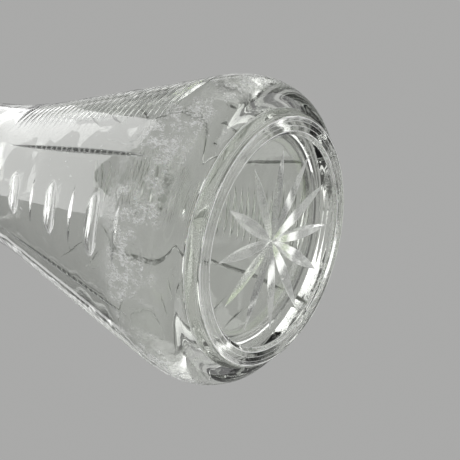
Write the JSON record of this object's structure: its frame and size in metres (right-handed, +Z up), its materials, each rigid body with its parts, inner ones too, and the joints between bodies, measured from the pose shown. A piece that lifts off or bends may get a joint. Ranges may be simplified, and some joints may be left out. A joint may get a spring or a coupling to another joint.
{
  "type": "mixing glass",
  "caption": "Heavy cut-glass mixing glass: round foot, widest at the heel, tapering panelled body, narrow waist and a flared mouth with a pouring lip, for stirring and pouring drinks.",
  "frame": {"origin": "centre of the foot ring, in the plane that rests on the table", "axes": "+Z up the glass's axis from the foot to the mouth, +X from the axis towards the pouring lip"},
  "size_m": [0.1014, 0.1014, 0.183],
  "materials": {
    "crystal": "clear cut crystal, polished cuts, fine scuffs round the heel and a worn foot ring"
  },
  "bodies": {
    "root": {"glass": "crystal"}
  },
  "joints": []
}
